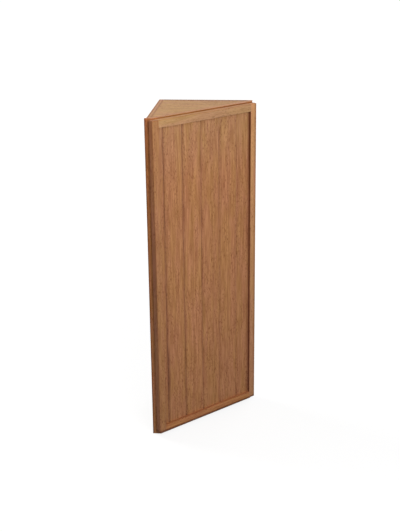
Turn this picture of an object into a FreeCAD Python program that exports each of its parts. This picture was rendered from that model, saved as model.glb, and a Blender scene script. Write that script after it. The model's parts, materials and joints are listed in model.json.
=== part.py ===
"""Angled wall end cabinet, 12 by 12 by 42 inches, in millimetres.

The plan is a right angled corner: one leg lies along the wall, the other against the last
cabinet of the run, and a framed door closes the diagonal between them. +X runs along the
wall to the right, +Y points at the wall and +Z up. The origin is the middle of the whole
outline at the underside.
"""

import os

import FreeCAD
import Part
import Sketcher
from FreeCAD import Placement, Rotation, Vector

DIMENSIONS = [
    # Box
    ("leg", "304.8", "length of the wall leg and of the side leg"),
    ("height", "1066.8", "overall height"),
    ("side_board", "15.9", "thickness of the side panel"),
    ("back_board", "15.9", "thickness of the back panel"),
    ("deck_board", "15.9", "thickness of the top and bottom panels"),
    ("dado_depth", "6.35", "depth of the grooves that hold the bottom panel"),
    ("rail_thickness", "19.05", "thickness of the hanging rails"),
    ("rail_height", "76.2", "height of the hanging rails"),
    ("wall_hole", "5.2", "diameter of the holes for the wall screws"),
    ("wall_hole_spacing", "152.4", "distance between two wall screws of one rail"),
    ("wall_hole_inset", "41", "first wall screw from the inner face of the side"),
    # Face frame on the diagonal
    ("frame_thickness", "19.05", "thickness of the face frame"),
    ("frame_overhang", "6.35", "how far the left stile stands past the side panel"),
    ("stile_face", "22.2", "width of a stile's front face"),
    ("frame_rail", "38.1", "height of the top and bottom rails"),
    # Shelves
    ("shelf_board", "15.9", "thickness of a shelf"),
    ("shelf_clearance", "1.5", "gap between a shelf and the panels beside it"),
    ("shelf_setback", "20", "front edge of a shelf behind the face frame"),
    ("shelf_tip", "20", "width of a shelf's clipped ends"),
    ("lipping", "6.35", "depth of the solid strip on a shelf's front edge"),
    ("pin_hole", "5", "diameter of the shelf pin holes"),
    ("pin_hole_depth", "9.5", "depth of the shelf pin holes"),
    ("pin_hole_step", "127", "vertical distance between two shelf pin holes"),
    ("pin_hole_rows", "5", "number of pin holes above each other"),
    ("pin_hole_start", "292.1", "height of the lowest pin hole"),
    ("pin_rear", "44", "rear row of pin holes from the corner of the inner faces"),
    ("pin_front", "185", "front row of pin holes from the corner of the inner faces"),
    ("lower_shelf", "0", "pin hole of the lower shelf, counted up from the lowest"),
    ("middle_shelf", "2", "pin hole of the middle shelf"),
    ("upper_shelf", "4", "pin hole of the upper shelf"),
    ("pin_play", "0.05", "radial play of a pin in its hole"),
    ("pin_bottoming", "1", "space between a pin and the bottom of its hole"),
    ("pin_plate", "1.5", "thickness of a pin's bent plate"),
    ("pin_plate_width", "9", "width of the bent plate"),
    ("pin_plate_rise", "4.5", "bent plate above and below the middle of the pin"),
    ("pin_tab", "11", "length of the level tab that carries the shelf"),
    # Door
    ("door_overhang", "18.3", "pull side edge of the door past the face frame's corner"),
    ("door_reveal", "0.4", "hinge side edge of the door short of the face frame's corner"),
    ("door_bottom", "15.9", "lower edge of the door above the underside"),
    ("door_top", "3.2", "upper edge of the door below the top"),
    ("door_thickness", "19.05", "thickness of the door frame"),
    ("door_gap", "3", "space between the face frame and the door"),
    ("door_member", "23.8", "width of the door's stiles and rails"),
    ("door_recess", "9.5", "depth of the panel behind the front of the door"),
    ("door_panel", "6.35", "thickness of the panel"),
    ("door_groove", "9.5", "depth of the grooves that hold the panel"),
    ("panel_play", "1", "room for the panel to swell at the bottom of its grooves"),
    ("door_round", "3", "radius of the door's outer front edge"),
    ("plank_first", "20.9", "first V-groove from the left stile"),
    ("plank_pitch", "74.3", "distance between two V-grooves"),
    ("plank_grooves", "5", "number of V-grooves"),
    ("plank_groove_width", "4.8", "width of a V-groove"),
    ("plank_groove_depth", "1.9", "depth of a V-groove"),
    # Hinges
    ("hinge_height", "63.5", "height of a hinge"),
    ("hinge_inset", "110", "middle of the end hinges from the ends of the door"),
    ("leaf_thickness", "1.2", "thickness of a hinge leaf"),
    ("leaf_margin", "0.6", "hinge leaf short of the stile's inner edge"),
    ("barrel", "6", "diameter of the hinge barrel"),
    ("barrel_clearance", "0.4", "space between the barrel and the wood or the other leaf"),
    ("knuckle_space", "0.3", "space between two knuckles"),
    ("hinge_pin", "3", "diameter of the hinge pin"),
    ("hinge_pin_play", "0.05", "radial play of the hinge pin"),
    ("hinge_pin_head", "4.6", "diameter of the hinge pin's head"),
    ("hinge_pin_head_height", "1.2", "height of the hinge pin's head"),
    ("screw_spacing", "38", "distance between the two screws of a leaf"),
    ("screw_hole", "3.2", "diameter of the screw holes in a leaf"),
    # Catch and bumpers
    ("bumper", "10", "diameter of the rubber bumpers"),
    ("bumper_air", "0.3", "bumper short of the face frame when the door is shut"),
    ("catch_level", "533.4", "height of the middle of the catch"),
    ("catch_height", "46", "height of the catch's base"),
    ("catch_base", "2.5", "thickness of the catch's base"),
    ("catch_depth", "18", "catch behind the front of the face frame"),
    ("catch_case_height", "28", "height of the catch's case"),
    ("catch_case_width", "13", "width of the catch's case"),
    ("magnet_height", "20", "height of the magnet"),
    ("magnet_width", "7", "width of the magnet and its two pole plates"),
    ("magnet_reach", "1.2", "magnet in front of its case"),
    ("catch_chamfer", "1.5", "bevel on the front edges of the catch's case"),
    ("catch_air", "0.3", "magnet short of the strike plate when the door is shut"),
    ("strike_height", "40", "height of the strike plate"),
    ("strike_width", "13", "width of the strike plate"),
    ("strike_thickness", "1.2", "thickness of the strike plate"),
]

# Places that several pieces share. The diagonal's own axes start at the middle of the face
# frame's front: across runs along it to the right, inward goes into the box.
PLACES = [
    ("tip", "size.leg + size.frame_thickness * sqrt(2) - size.frame_overhang"),
    ("end_face", "tip - size.leg"),
    ("half_front", "(size.leg - end_face) / sqrt(2)"),
    ("frame_back", "size.leg - size.frame_overhang"),
    ("opening", "half_front - size.stile_face"),
    ("deck_top", "size.frame_rail"),
    ("inner_top", "size.height - size.deck_board"),
    ("door_right", "half_front - size.door_reveal"),
    ("door_left", "-half_front - size.door_overhang"),
    ("door_height", "size.height - size.door_top - size.door_bottom"),
    ("door_front", "size.door_gap + size.door_thickness"),
    ("panel_front", "door_front - size.door_recess"),
    ("panel_back", "panel_front - size.door_panel"),
    ("barrel_room", "size.barrel / 2 + size.barrel_clearance"),
    ("hinge_across", "half_front + sqrt(barrel_room^2 - (size.door_gap / 2)^2)"),
    ("leaf_inner", "opening + size.leaf_margin"),
    ("leaf_edge", "hinge_across - barrel_room"),
    ("screw_across", "half_front - size.stile_face / 2"),
    ("round_loss", "(sqrt(2) - 1) * size.door_round"),
    ("corner_x", "(size.frame_overhang + round_loss - tip / 2 - (door_right + door_front) / sqrt(2)) / 2"),
    ("corner_y", "(tip / 2 + (door_front - door_left) / sqrt(2) - round_loss) / 2"),
    ("front_x", "corner_x + tip / 2"),
    ("front_y", "corner_y - tip / 2"),
    ("pin_x", "corner_x + size.side_board"),
    ("pin_y", "corner_y - size.back_board"),
    ("catch_nose", "panel_back - size.strike_thickness - size.catch_air"),
    ("catch_middle", "(size.catch_base + size.catch_case_width) / 2 - opening"),
]

FRONT_ANGLE = 45.0
SHELVES = ("lower", "middle", "upper")
KNUCKLES = 3
UP = Vector(0, 0, 1)
# A point this near to a plane lies on it.
TOUCH = 0.01
ORIGIN_PLANES = {"plan": "XY_Plane", "front": "XZ_Plane", "side": "YZ_Plane"}

doc = FreeCAD.newDocument("angled_wall_end_cabinet")
nodes = []


def make_sheets():
    """Fills one sheet with the driving dimensions and one with the places worked out from them."""
    sizes = doc.addObject("Spreadsheet::Sheet", "size")
    for row, (alias, number, note) in enumerate(DIMENSIONS, start=1):
        sizes.set(f"A{row}", note)
        sizes.set(f"B{row}", number)
        sizes.setAlias(f"B{row}", alias)
    places = doc.addObject("Spreadsheet::Sheet", "place")
    doc.recompute()
    for row, (alias, formula) in enumerate(PLACES, start=1):
        places.set(f"A{row}", "=" + formula)
        places.setAlias(f"A{row}", alias)
    doc.recompute()
    return places


places = make_sheets()


def number(expression):
    """The value of an expression over the two sheets."""
    return float(places.evalExpression(expression))


def bind(thing, **expressions):
    """Ties properties of an object to expressions; a double underscore stands for a dot."""
    for name, expression in expressions.items():
        thing.setExpression(name.replace("__", "."), expression)


def seat(thing, where, lift="0"):
    """Places an object on the box's rear left corner or on the diagonal, at a height."""
    if where == "front":
        thing.Placement = Placement(Vector(), Rotation(UP, FRONT_ANGLE))
        bind(thing, Placement__Base__x="place.front_x", Placement__Base__y="place.front_y")
    else:
        bind(thing, Placement__Base__x="place.corner_x", Placement__Base__y="place.corner_y")
    bind(thing, Placement__Base__z=lift)


def new_body(label, where, lift="0"):
    body = doc.addObject("PartDesign::Body", label)
    body.Label = label
    seat(body, where, lift)
    nodes.append(body)
    return body


def new_sketch(body, plane, offset="0"):
    """A sketch on one of the body's own planes, moved along that plane's normal."""
    sketch = body.newObject("Sketcher::SketchObject", body.Name + "_sketch")
    role = ORIGIN_PLANES[plane]
    support = next(each for each in body.Origin.OriginFeatures if each.Role == role)
    sketch.AttachmentSupport = [(support, "")]
    sketch.MapMode = "FlatFace"
    bind(sketch, AttachmentOffset__Base__z=offset)
    return sketch


def hold_point(sketch, geometry, point, across, along):
    """Fixes a sketch point by its two distances from the sketch's origin."""
    for kind, axis, expression in (("DistanceX", -2, across), ("DistanceY", -1, along)):
        if expression == "0":
            sketch.addConstraint(Sketcher.Constraint("PointOnObject", geometry, point, axis))
            continue
        distance = Sketcher.Constraint(kind, -1, 1, geometry, point, number(expression))
        index = sketch.addConstraint(distance)
        sketch.setExpression(f"Constraints[{index}]", expression)


def outline(sketch, corners):
    """Draws a closed polygon through corners given as pairs of expressions."""
    points = [Vector(number(across), number(along), 0) for across, along in corners]
    first = sketch.GeometryCount
    count = len(points)
    for index, start in enumerate(points):
        sketch.addGeometry(Part.LineSegment(start, points[(index + 1) % count]), False)
    for index, (across, along) in enumerate(corners):
        following = first + (index + 1) % count
        sketch.addConstraint(Sketcher.Constraint("Coincident", first + index, 2, following, 1))
        hold_point(sketch, first + index, 1, across, along)
    return sketch


def rectangle(sketch, left, right, bottom, top):
    return outline(sketch, [(left, bottom), (right, bottom), (right, top), (left, top)])


def circles(sketch, centres, radius):
    """Draws circles of one radius about centres given as pairs of expressions."""
    for across, along in centres:
        centre = Vector(number(across), number(along), 0)
        index = sketch.addGeometry(Part.Circle(centre, UP, number(radius)), False)
        hold_point(sketch, index, 3, across, along)
        size = sketch.addConstraint(Sketcher.Constraint("Radius", index, number(radius)))
        sketch.setExpression(f"Constraints[{size}]", radius)
    return sketch


def pad(sketch, length, backwards=False):
    body = sketch.getParentGeoFeatureGroup()
    feature = body.newObject("PartDesign::Pad", body.Name + "_pad")
    feature.Profile = sketch
    feature.Reversed = backwards
    bind(feature, Length=length)
    doc.recompute()
    return feature


def pocket(sketch, depth, backwards=False):
    """Cuts a sketch into its body and makes sure that something was cut."""
    body = sketch.getParentGeoFeatureGroup()
    before = body.Shape.Volume
    feature = body.newObject("PartDesign::Pocket", body.Name + "_pocket")
    feature.Profile = sketch
    feature.Reversed = backwards
    bind(feature, Length=depth)
    doc.recompute()
    if body.Shape.Volume >= before:
        raise RuntimeError(f"a pocket of {body.Label} cuts nothing")
    return feature


def repeat(feature, axis, length, count):
    """Repeats a feature along an axis of its own sketch."""
    body = feature.getParentGeoFeatureGroup()
    pattern = body.newObject("PartDesign::LinearPattern", body.Name + "_pattern")
    pattern.Originals = [feature]
    pattern.Direction = (feature.Profile[0], [axis])
    bind(pattern, Length=length, Occurrences=count)
    body.Tip = pattern
    doc.recompute()
    return pattern


def dress_edges(body, kind, front, sides, size):
    """Rounds or bevels the edges of a front plane that also lie on one of the side planes.

    kind is Fillet or Chamfer, front is a value of y, and sides are pairs of an axis name and
    a value on that axis.
    """
    base = body.Tip
    names = []
    for index, edge in enumerate(base.Shape.Edges, start=1):
        middle = edge.valueAt((edge.FirstParameter + edge.LastParameter) / 2)
        on_side = any(abs(getattr(middle, axis) - place) < TOUCH for axis, place in sides)
        if on_side and abs(middle.y - front) < TOUCH:
            names.append(f"Edge{index}")
    feature = body.newObject("PartDesign::" + kind, body.Name + "_edges")
    feature.Base = (base, names)
    measure = {"Fillet": "Radius", "Chamfer": "Size"}[kind]
    bind(feature, **{measure: size})
    doc.recompute()
    return feature


def pin_holes(body, plane, face, sign):
    """Two vertical rows of blind holes for the shelf pins, cut from a panel's inner face."""
    inset = "size.back_board" if plane == "side" else "size.side_board"
    centres = []
    for row in ("size.pin_rear", "size.pin_front"):
        centres.append((f"{sign}({inset} + {row})", "size.pin_hole_start"))
    sketch = circles(new_sketch(body, plane, face), centres, "size.pin_hole / 2")
    holes = pocket(sketch, "size.pin_hole_depth")
    span = "size.pin_hole_step * (size.pin_hole_rows - 1)"
    repeat(holes, "V_Axis", span, "size.pin_hole_rows")


def wall_hole_centres(levels):
    """Centres of the wall screw holes, on the back's own axes, at the given heights."""
    first = "size.side_board + size.wall_hole_inset"
    across = (first, first + " + size.wall_hole_spacing")
    return [(place, level) for level in levels for place in across]


def side_panel():
    """Side against the next cabinet, with its front end cut to lie behind the frame."""
    body = new_body("side_panel_left", "box")
    plan = outline(new_sketch(body, "plan"), [
        ("0", "0"),
        ("0", "-place.frame_back"),
        ("size.side_board", "size.side_board - place.frame_back"),
        ("size.side_board", "0"),
    ])
    pad(plan, "size.height")
    dado = outline(new_sketch(body, "plan", "place.deck_top"), [
        ("size.side_board - size.dado_depth", "size.dado_depth - size.back_board"),
        ("size.side_board - size.dado_depth", "size.side_board - size.dado_depth - place.frame_back"),
        ("size.side_board", "size.side_board - place.frame_back"),
        ("size.side_board", "size.dado_depth - size.back_board"),
    ])
    pocket(dado, "size.deck_board")
    pin_holes(body, "side", "size.side_board", "-")


def back_panel():
    """Back against the wall, between the side panel and the right stile."""
    body = new_body("back_panel", "box")
    plan = outline(new_sketch(body, "plan"), [
        ("size.side_board", "0"),
        ("place.frame_back", "0"),
        ("place.frame_back - size.back_board", "-size.back_board"),
        ("size.side_board", "-size.back_board"),
    ])
    pad(plan, "size.height")
    dado = outline(new_sketch(body, "plan", "place.deck_top"), [
        ("size.side_board", "size.dado_depth - size.back_board"),
        ("place.frame_back + size.dado_depth - size.back_board", "size.dado_depth - size.back_board"),
        ("place.frame_back - size.back_board", "-size.back_board"),
        ("size.side_board", "-size.back_board"),
    ])
    pocket(dado, "size.deck_board")
    levels = ("place.deck_top + size.rail_height / 2", "place.inner_top - size.rail_height / 2")
    inner_face = new_sketch(body, "front", "size.back_board")
    pocket(circles(inner_face, wall_hole_centres(levels), "size.wall_hole / 2"), "size.back_board")
    pin_holes(body, "front", "size.back_board", "")


def decks():
    """Top panel, flush between side and back, and bottom panel, let into their grooves."""
    for label, lift, reach in (
        ("top_panel", "place.inner_top", "0"),
        ("bottom_panel", "place.deck_top - size.deck_board", "size.dado_depth"),
    ):
        body = new_body(label, "box", lift)
        left = f"size.side_board - {reach}"
        rear = f"{reach} - size.back_board"
        plan = outline(new_sketch(body, "plan"), [
            (left, rear),
            (left, f"{left} - place.frame_back"),
            (f"place.frame_back + {rear}", rear),
        ])
        pad(plan, "size.deck_board")


def hanging_rails():
    """Strips inside the back that the wall screws pass through."""
    for label, lift in (
        ("hanging_rail_upper", "place.inner_top - size.rail_height"),
        ("hanging_rail_lower", "place.deck_top"),
    ):
        body = new_body(label, "box", lift)
        front = "-size.back_board - size.rail_thickness"
        plan = outline(new_sketch(body, "plan"), [
            ("size.side_board", "-size.back_board"),
            ("size.side_board", front),
            (f"place.frame_back {front}", front),
            ("place.frame_back - size.back_board", "-size.back_board"),
        ])
        pad(plan, "size.rail_height")
        face = new_sketch(body, "front", "size.back_board + size.rail_thickness")
        holes = circles(face, wall_hole_centres(("size.rail_height / 2",)), "size.wall_hole / 2")
        pocket(holes, "size.rail_thickness")


def hinge_levels():
    """Heights of the middles of the three hinges, as expressions."""
    bottom = "size.door_bottom + size.hinge_inset"
    top = "size.door_bottom + place.door_height - size.hinge_inset"
    return {"lower": bottom, "middle": f"({bottom} + {top}) / 2", "upper": top}


def frame_stiles():
    """Stiles whose outer edges are cut at 45 degrees, parallel to the wall and to the side."""
    left = new_body("frame_stile_left", "front")
    plan = outline(new_sketch(left, "plan"), [
        ("-place.half_front", "0"),
        ("-place.opening", "0"),
        ("-place.opening", "size.frame_thickness"),
        ("-place.half_front - size.frame_thickness", "size.frame_thickness"),
    ])
    pad(plan, "size.height")

    right = new_body("frame_stile_right", "front")
    wall_edge = "place.end_face / sqrt(2)"
    plan = outline(new_sketch(right, "plan"), [
        ("place.opening", "0"),
        ("place.half_front", "0"),
        (f"place.half_front + {wall_edge}", wall_edge),
        (f"place.half_front + 2 * {wall_edge} - size.frame_thickness", "size.frame_thickness"),
        ("place.opening", "size.frame_thickness"),
    ])
    pad(plan, "size.height")


def frame_rails():
    for label, lift in (("frame_rail_top", "size.height - size.frame_rail"), ("frame_rail_bottom", "0")):
        body = new_body(label, "front", lift)
        plan = rectangle(
            new_sketch(body, "plan"), "-place.opening", "place.opening", "0", "size.frame_thickness"
        )
        pad(plan, "size.frame_rail")


def shelf_level(name):
    """Height of the underside of a shelf: the top of its pins' tabs."""
    return f"size.pin_hole_start + size.pin_hole_step * size.{name}_shelf + size.pin_plate_rise"


def shelves():
    """Boards with clipped ends and a solid strip on the diagonal edge."""
    left = "size.side_board + size.shelf_clearance"
    rear = "size.back_board + size.shelf_clearance"
    reach = "place.frame_back - size.shelf_setback * sqrt(2)"
    slope = "size.lipping * sqrt(2)"
    right_end = f"{reach} - ({rear} + size.shelf_tip)"
    left_end = f"{left} + size.shelf_tip - ({reach})"
    right_rear = (right_end, f"-({rear} + size.shelf_tip)")
    right_inner = (right_end, f"{slope} - ({rear} + size.shelf_tip)")
    left_front = (f"{left} + size.shelf_tip", left_end)
    left_inner = (f"{left} + size.shelf_tip - {slope}", left_end)
    for name in SHELVES:
        board = new_body(f"shelf_{name}", "box", shelf_level(name))
        plan = outline(new_sketch(board, "plan"), [
            (left, f"-({rear})"),
            (left, left_end),
            left_inner,
            right_inner,
            (right_end, f"-({rear})"),
        ])
        pad(plan, "size.shelf_board")
        strip = new_body(f"shelf_lipping_{name}", "box", shelf_level(name))
        plan = outline(new_sketch(strip, "plan"), [left_inner, left_front, right_rear, right_inner])
        pad(plan, "size.shelf_board")


def shelf_pins():
    """Steel pins with a bent plate: upright against the panel, level under the shelf."""
    shank = number("size.pin_hole_depth - size.pin_bottoming")
    plate = number("size.pin_plate")
    width = number("size.pin_plate_width")
    rise = number("size.pin_plate_rise")
    along = Vector(1, 0, 0)
    pin = Part.makeCylinder(number("size.pin_hole / 2 - size.pin_play"), shank, Vector(-shank, 0, 0), along)
    pin = pin.fuse(Part.makeBox(plate, width, 2 * rise, Vector(0, -width / 2, -rise)))
    tab = Part.makeBox(number("size.pin_tab"), width, plate, Vector(0, -width / 2, rise - plate))
    pin = pin.fuse(tab).removeSplitter()
    pins = []
    for name in SHELVES:
        level = number(shelf_level(name)) - rise
        for row in ("size.pin_rear", "size.pin_front"):
            step = number(row)
            on_side = Placement(Vector(0, -step, level), Rotation())
            on_back = Placement(Vector(step, 0, level), Rotation(UP, -90))
            pins += [pin.transformed(spot.toMatrix()) for spot in (on_side, on_back)]
    group = doc.addObject("Part::Feature", "shelf_pins")
    group.Shape = Part.makeCompound(pins)
    group.Placement = Placement(Vector(number("place.pin_x"), number("place.pin_y"), 0), Rotation())
    nodes.append(group)


def door_stiles():
    """Upright members with a groove for the panel and the rails' tongues."""
    for label, outer, inner, sign in (
        ("door_stile_left", "place.door_left", "place.door_left + size.door_member", "-"),
        ("door_stile_right", "place.door_right", "place.door_right - size.door_member", "+"),
    ):
        body = new_body(label, "front", "size.door_bottom")
        groove = f"{inner} {sign} size.door_groove"
        plan = outline(new_sketch(body, "plan"), [
            (outer, "-place.door_front"),
            (inner, "-place.door_front"),
            (inner, "-place.panel_front"),
            (groove, "-place.panel_front"),
            (groove, "-place.panel_back"),
            (inner, "-place.panel_back"),
            (inner, "-size.door_gap"),
            (outer, "-size.door_gap"),
        ])
        pad(plan, "place.door_height")
        sides = [("x", number(outer)), ("z", 0.0), ("z", number("place.door_height"))]
        dress_edges(body, "Fillet", number("-place.door_front"), sides, "size.door_round")


def door_rails():
    """Level members with a groove for the panel and a tongue at each end."""
    left = "place.door_left + size.door_member"
    length = "place.door_right - place.door_left - 2 * size.door_member"
    top = "size.door_bottom + place.door_height - size.door_member"
    bottom_bed = "size.door_member - size.door_groove"
    for label, lift, outer, inner, bed in (
        ("door_rail_top", top, "size.door_member", "0", "size.door_groove"),
        ("door_rail_bottom", "size.door_bottom", "0", "size.door_member", bottom_bed),
    ):
        body = new_body(label, "front", lift)
        section = outline(new_sketch(body, "side", left), [
            ("-place.door_front", outer),
            ("-place.door_front", inner),
            ("-place.panel_front", inner),
            ("-place.panel_front", bed),
            ("-place.panel_back", bed),
            ("-place.panel_back", inner),
            ("-size.door_gap", inner),
            ("-size.door_gap", outer),
        ])
        pad(section, length)
        end = new_sketch(body, "side", f"{left} - size.door_groove")
        tongue = rectangle(end, "-place.panel_front", "-place.panel_back", outer, bed)
        pad(tongue, f"{length} + 2 * size.door_groove")
        dress_edges(body, "Fillet", number("-place.door_front"), [("z", number(outer))], "size.door_round")


def door_panel():
    """Thin panel with V-grooves that part it into planks, loose in the frame's grooves."""
    edge = "size.door_member - size.door_groove + size.panel_play"
    body = new_body("door_panel", "front", f"size.door_bottom + {edge}")
    height = f"place.door_height - 2 * ({edge})"
    left = f"place.door_left + {edge}"
    right = f"place.door_right - ({edge})"
    plan = rectangle(new_sketch(body, "plan"), left, right, "-place.panel_front", "-place.panel_back")
    pad(plan, height)
    middle = "place.door_left + size.door_member + size.plank_first"
    notch = outline(new_sketch(body, "plan", height), [
        (f"{middle} - size.plank_groove_width / 2", "-place.panel_front"),
        (f"{middle} + size.plank_groove_width / 2", "-place.panel_front"),
        (middle, "size.plank_groove_depth - place.panel_front"),
    ])
    groove = pocket(notch, height)
    repeat(groove, "H_Axis", "size.plank_pitch * (size.plank_grooves - 1)", "size.plank_grooves")


def new_box(across, inward, up, length, width, height):
    """A plain block on the diagonal's own axes, from its lowest corner and its three sizes."""
    block = doc.addObject("Part::Box", "block")
    bind(block, Length=length, Width=width, Height=height)
    bind(block, Placement__Base__x=across, Placement__Base__y=inward, Placement__Base__z=up)
    return block


def new_cylinder(across, inward, up, radius, height):
    """An upright cylinder on the diagonal's own axes."""
    rod = doc.addObject("Part::Cylinder", "rod")
    bind(rod, Radius=radius, Height=height)
    bind(rod, Placement__Base__x=across, Placement__Base__y=inward, Placement__Base__z=up)
    return rod


def screw_holes(inward, level):
    """Two holes through a leaf, above and below its middle."""
    cuts = []
    for step in ("-", "+"):
        hole = new_cylinder(
            "place.screw_across", f"{inward} + size.leaf_thickness", f"{level} {step} size.screw_spacing / 2",
            "size.screw_hole / 2", "size.leaf_thickness",
        )
        hole.Placement.Rotation = Rotation(Vector(1, 0, 0), 90)
        cuts.append(hole)
    return cuts


def hinge_leaf(label, level, inward, knuckles):
    """A flat leaf with its share of the knuckles, bored for the pin and for its screws."""
    foot = f"{level} - size.hinge_height / 2"
    share = f"size.hinge_height / {KNUCKLES}"
    axis = ("place.hinge_across", "-size.door_gap / 2")
    width = "place.leaf_edge - place.leaf_inner"
    pieces = [new_box("place.leaf_inner", inward, foot, width, "size.leaf_thickness", "size.hinge_height")]
    for knuckle in knuckles:
        start = f"{foot} + {knuckle} * {share} + size.knuckle_space / 2"
        length = f"{share} - size.knuckle_space"
        pieces.append(new_cylinder(*axis, start, "size.barrel / 2", length))
        arm = "place.hinge_across - place.leaf_edge"
        pieces.append(new_box("place.leaf_edge", inward, start, arm, "size.leaf_thickness", length))
    whole = doc.addObject("Part::MultiFuse", "leaf")
    whole.Shapes = pieces
    bore = new_cylinder(*axis, foot, "size.hinge_pin / 2 + size.hinge_pin_play", "size.hinge_height")
    holes = doc.addObject("Part::MultiFuse", "holes")
    holes.Shapes = [bore] + screw_holes(inward, level)
    leaf = doc.addObject("Part::Cut", label)
    leaf.Label = label
    leaf.Base = whole
    leaf.Tool = holes
    seat(leaf, "front")
    nodes.append(leaf)


def hinge_pin(label, level):
    """A steel pin that hangs by its low head on the topmost knuckle."""
    body = new_body(label, "front", f"{level} - size.hinge_height / 2")
    bind(body, Placement__Base__x="place.front_x + (place.hinge_across + size.door_gap / 2) / sqrt(2)")
    bind(body, Placement__Base__y="place.front_y + (place.hinge_across - size.door_gap / 2) / sqrt(2)")
    rim = "size.hinge_height - size.knuckle_space / 2"
    half_section = outline(new_sketch(body, "front"), [
        ("0", "0"),
        ("size.hinge_pin / 2", "0"),
        ("size.hinge_pin / 2", rim),
        ("size.hinge_pin_head / 2", rim),
        ("size.hinge_pin_head / 2", f"{rim} + size.hinge_pin_head_height"),
        ("0", f"{rim} + size.hinge_pin_head_height"),
    ])
    turned = body.newObject("PartDesign::Revolution", body.Name + "_turned")
    turned.Profile = half_section
    turned.ReferenceAxis = (half_section, ["V_Axis"])
    turned.Angle = 360.0
    doc.recompute()


def hinges():
    for name, level in hinge_levels().items():
        hinge_leaf(f"hinge_frame_leaf_{name}", level, "-size.leaf_thickness", (0, 2))
        hinge_leaf(f"hinge_door_leaf_{name}", level, "-size.door_gap", (1,))
        hinge_pin(f"hinge_pin_{name}", level)


def door_bumpers():
    """Rubber dots on the rails' backs that meet the left stile of the frame."""
    half = "size.door_member / 2"
    for name, level in (
        ("lower", f"size.door_bottom + {half}"),
        ("upper", f"size.door_bottom + place.door_height - {half}"),
    ):
        body = new_body(f"door_bumper_{name}", "front")
        back = new_sketch(body, "front", "size.door_gap")
        dot = circles(back, [("-place.screw_across", level)], "size.bumper / 2")
        pad(dot, "size.door_gap - size.bumper_air", backwards=True)


def around(middle, size):
    """The two ends of a size that lies evenly about a middle."""
    return f"{middle} - {size} / 2", f"{middle} + {size} / 2"


def catch():
    """Magnetic catch on the left stile's inner edge and its strike plate on the panel."""
    edge = "-place.opening"
    case_front = "place.catch_nose - size.magnet_reach"
    body = new_body("catch_case", "front")
    base_ends = around("size.catch_level", "size.catch_height")
    pad(rectangle(new_sketch(body, "side", edge), "0", "size.catch_depth", *base_ends), "size.catch_base")
    case_ends = around("size.catch_level", "size.catch_case_height")
    case = rectangle(new_sketch(body, "side", edge), f"-({case_front})", "size.catch_depth", *case_ends)
    pad(case, "size.catch_case_width")
    corners = [("z", number(end)) for end in case_ends]
    corners.append(("x", number(f"{edge} + size.catch_case_width")))
    dress_edges(body, "Chamfer", -number(case_front), corners, "size.catch_chamfer")
    magnet_sides = around("place.catch_middle", "size.magnet_width")
    magnet_ends = around("size.catch_level", "size.magnet_height")
    hollow = rectangle(new_sketch(body, "front", case_front), *magnet_sides, *magnet_ends)
    pocket(hollow, f"{case_front} + size.catch_depth / 2")

    magnet = new_body("catch_magnet", "front")
    block = rectangle(new_sketch(magnet, "front", "place.catch_nose"), *magnet_sides, *magnet_ends)
    pad(block, "place.catch_nose + size.catch_depth / 2", backwards=True)

    strike = new_body("catch_strike", "front")
    strike_sides = around("place.catch_middle", "size.strike_width")
    strike_ends = around("size.catch_level", "size.strike_height")
    plate = rectangle(new_sketch(strike, "front", "place.panel_back"), *strike_sides, *strike_ends)
    pad(plate, "size.strike_thickness", backwards=True)


def check_and_write():
    """Makes sure that every object came out sound, then writes one file for each piece."""
    doc.recompute()
    for thing in doc.Objects:
        if {"Invalid", "Error"} & set(thing.State):
            raise RuntimeError(f"{thing.Label} failed: {thing.State}")
    for node in nodes:
        if node.Shape.isNull() or not node.Shape.isValid():
            raise RuntimeError(f"{node.Label} has no sound shape")
    os.makedirs("parts", exist_ok=True)
    for node in nodes:
        node.Shape.exportStep(f"parts/{node.Label}.step")
    print(len(nodes), "pieces written")


side_panel()
back_panel()
decks()
hanging_rails()
frame_stiles()
frame_rails()
shelves()
shelf_pins()
door_stiles()
door_rails()
door_panel()
hinges()
door_bumpers()
catch()
check_and_write()
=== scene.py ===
# %% [markdown]
# # Dressing an angled wall end cabinet
# This cabinet closes a run of kitchen wall units: a tall corner box whose front is cut off at
# 45 degrees, with one slim framed door on that diagonal. The joinery, the hinges and the
# catch come as solids that already have the right shape. What is left for Blender is the
# stained oak, the metal and plastic finishes, the screws and the studio around it.
#
# Blender works in metres here. +X runs along the wall, +Y points at the wall and +Z up. Small
# sizes are easier to read in millimetres, so they are written that way and multiplied by `MM`.

# %% Load the joinery
import json
from math import radians, sqrt

import bmesh
import bpy
from mathutils import Matrix, Vector


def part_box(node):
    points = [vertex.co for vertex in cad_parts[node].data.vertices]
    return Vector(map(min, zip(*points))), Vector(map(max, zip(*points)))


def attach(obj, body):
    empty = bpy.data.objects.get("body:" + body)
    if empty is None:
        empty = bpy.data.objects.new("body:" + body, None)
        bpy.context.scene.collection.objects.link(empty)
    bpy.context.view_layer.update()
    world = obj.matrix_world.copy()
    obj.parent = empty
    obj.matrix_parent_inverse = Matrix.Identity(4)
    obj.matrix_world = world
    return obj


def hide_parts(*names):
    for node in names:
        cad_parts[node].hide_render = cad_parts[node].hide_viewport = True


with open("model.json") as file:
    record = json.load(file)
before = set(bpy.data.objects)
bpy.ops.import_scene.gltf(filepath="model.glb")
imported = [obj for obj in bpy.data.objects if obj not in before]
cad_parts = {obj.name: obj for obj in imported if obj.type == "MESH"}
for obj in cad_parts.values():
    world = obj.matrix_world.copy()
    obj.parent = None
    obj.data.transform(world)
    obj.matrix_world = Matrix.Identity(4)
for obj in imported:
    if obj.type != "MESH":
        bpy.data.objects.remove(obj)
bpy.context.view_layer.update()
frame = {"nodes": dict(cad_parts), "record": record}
MM = 0.001

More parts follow.
